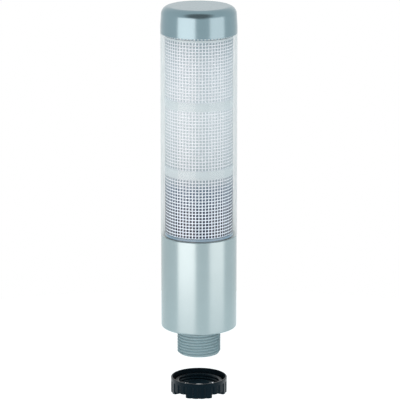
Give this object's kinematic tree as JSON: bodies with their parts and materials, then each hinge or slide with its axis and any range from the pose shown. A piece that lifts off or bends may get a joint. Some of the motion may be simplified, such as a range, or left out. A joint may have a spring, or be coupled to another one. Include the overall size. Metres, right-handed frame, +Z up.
{
  "type": "stack light",
  "caption": "Slim cylindrical stack light: a clear lens with gridded tiers over a painted base and threaded stub, with a fluted ring nut apart on the same axis.",
  "frame": {"origin": "centre of the seat under the base, where the light stands on its panel; the threaded stub goes down through the panel from there", "axes": "+Z up the tower along its own axis; -Y is the front, the side of the reference view; +X is to the viewer's right"},
  "size_m": [0.0384, 0.0384, 0.1996],
  "materials": {
    "cap_paint": "silver paint, satin, on a moulded cover",
    "base_paint": "silver paint, satin, on a moulded tube",
    "clear_lens": "clear gloss moulding, smooth outside and gridded inside",
    "foot_plastic": "grey-teal, matt",
    "nut_plastic": "near black, low sheen",
    "seal_rubber": "matt",
    "screw_steel": "zinc plated",
    "mast_aluminium": "extruded, satin",
    "white_board": "white solder resist",
    "led_package": "white package, unlit",
    "divider_plastic": "white moulding",
    "carrier_plastic": "dark blue-grey moulding",
    "green_board": "green solder resist",
    "black_plastic": "black moulding",
    "contact_brass": "plated",
    "terminal_plastic": "green moulding",
    "capacitor_sleeve": "dark sleeve"
  },
  "bodies": {
    "light": {"cap": "cap_paint", "lens": "clear_lens", "base_housing": "base_paint", "threaded_foot": "foot_plastic", "panel_gasket": "seal_rubber", "base_seal": "seal_rubber", "cap_seal": "seal_rubber", "mast_buffer": "seal_rubber", "foot_screws": "screw_steel", "board_screws": "screw_steel", "terminal_screws": "screw_steel", "terminal_clamps": "screw_steel", "mast": "mast_aluminium", "led_strip_1": "white_board", "led_strip_2": "white_board", "led_strip_3": "white_board", "tier_1_leds": "led_package", "tier_2_leds": "led_package", "tier_3_leds": "led_package", "divider_1": "divider_plastic", "divider_2": "divider_plastic", "light_carrier": "carrier_plastic", "link_board": "green_board", "control_board": "green_board", "contact_header": "black_plastic", "contact_socket": "black_plastic", "contact_pins": "contact_brass", "terminal_block": "terminal_plastic", "capacitor": "capacitor_sleeve", "driver_chips": "black_plastic"},
    "nut": {"ring_nut": "nut_plastic"}
  },
  "joints": [
    {"name": "nut_travel", "type": "slide", "parent": "light", "child": "nut", "axis": [0, 0, 1], "range_m": [0, 0.02685]}
  ]
}
